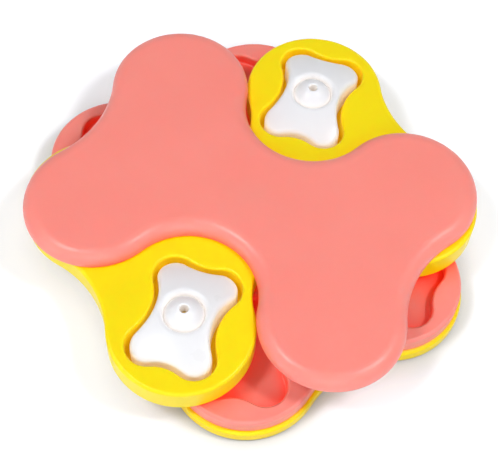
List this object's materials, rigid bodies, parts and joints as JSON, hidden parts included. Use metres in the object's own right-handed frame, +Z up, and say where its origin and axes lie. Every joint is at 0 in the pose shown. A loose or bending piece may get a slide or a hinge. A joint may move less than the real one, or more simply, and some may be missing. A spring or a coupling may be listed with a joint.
{
  "type": "dog puzzle feeder toy",
  "caption": "Lobed pet puzzle feeder: a footed base, two trays with bone-shaped treat pockets, a plain lid, all turning on one spindle, and two lift-out bones that lock the lid.",
  "frame": {"origin": "on the spindle's axis, on the surface that the feet stand on", "axes": "+Z up along the spindle; -Y towards the near bone, with the lid's long axis at 154 degrees from +X"},
  "size_m": [0.2648, 0.269, 0.0474],
  "materials": {
    "yellow_plastic": "satin-gloss moulded ABS, yellow",
    "coral_plastic": "satin-gloss moulded ABS, coral",
    "white_plastic": "satin-gloss moulded ABS, white",
    "natural_nylon": "natural nylon, turned",
    "grey_rubber": "matt moulded rubber",
    "steel": "plated steel"
  },
  "bodies": {
    "base": {"base_shell": "yellow_plastic", "base_cover": "yellow_plastic", "base_screws": "steel", "base_bush": "natural_nylon", "base_glide_washer": "natural_nylon", "foot_1": "grey_rubber", "foot_2": "grey_rubber", "foot_3": "grey_rubber", "foot_4": "grey_rubber"},
    "lower_tray": {"lower_tray_shell": "coral_plastic", "lower_tray_cover": "coral_plastic", "lower_tray_screws": "steel", "lower_tray_bush": "natural_nylon", "lower_tray_glide_washer": "natural_nylon"},
    "upper_tray": {"upper_tray_shell": "yellow_plastic", "upper_tray_cover": "yellow_plastic", "upper_tray_screws": "steel", "upper_tray_bush": "natural_nylon", "upper_tray_glide_washer": "natural_nylon"},
    "lid": {"lid_shell": "coral_plastic", "lid_cover": "coral_plastic", "lid_screws": "steel", "spindle": "steel", "retaining_washer": "steel", "spindle_screw": "steel"},
    "bone_1": {"bone_1": "white_plastic"},
    "bone_2": {"bone_2": "white_plastic"}
  },
  "joints": [
    {"name": "lower_tray_spin", "type": "hinge", "parent": "base", "child": "lower_tray", "pos_m": [0, 0, 0], "axis": [0, 0, 1], "continuous": true},
    {"name": "upper_tray_spin", "type": "hinge", "parent": "base", "child": "upper_tray", "pos_m": [0, 0, 0], "axis": [0, 0, 1], "continuous": true},
    {"name": "lid_turn", "type": "hinge", "parent": "upper_tray", "child": "lid", "pos_m": [0, 0, 0], "axis": [0, 0, 1], "range_deg": [-10, 11.5]},
    {"name": "bone_1_lift", "type": "slide", "parent": "upper_tray", "child": "bone_1", "axis": [0, 0, 1], "range_m": [0, 0.04]},
    {"name": "bone_2_lift", "type": "slide", "parent": "upper_tray", "child": "bone_2", "axis": [0, 0, 1], "range_m": [0, 0.04]}
  ]
}
